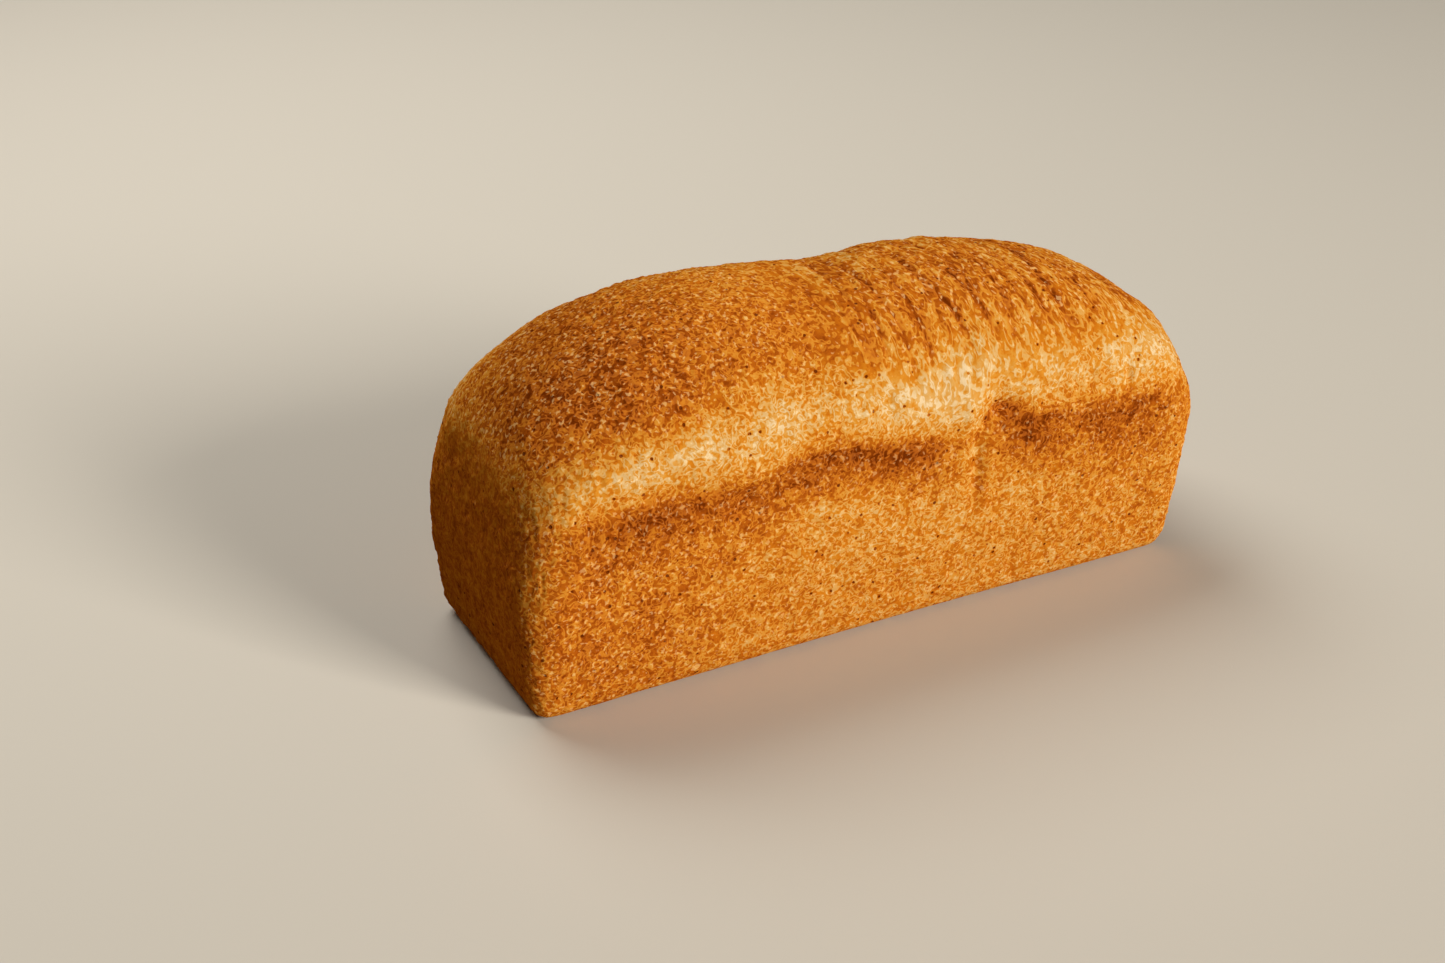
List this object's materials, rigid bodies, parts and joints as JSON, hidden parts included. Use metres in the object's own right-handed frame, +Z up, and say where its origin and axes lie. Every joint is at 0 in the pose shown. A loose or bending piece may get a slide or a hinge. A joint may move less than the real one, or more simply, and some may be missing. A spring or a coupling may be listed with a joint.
{
  "type": "tin loaf of bread",
  "caption": "Whole uncut loaf of bread baked in a long tin: flat base, leaning walls, a creased rim line and a risen, folded top.",
  "frame": {"origin": "on the surface that the loaf stands on, under the middle of its box", "axes": "+X along the loaf's length, towards the end with the lip; +Y across it, away from the long side that the picture shows; +Z up"},
  "size_m": [0.2924, 0.1092, 0.1359],
  "materials": {
    "crust": null
  },
  "bodies": {
    "root": {"loaf": "crust"}
  },
  "joints": []
}
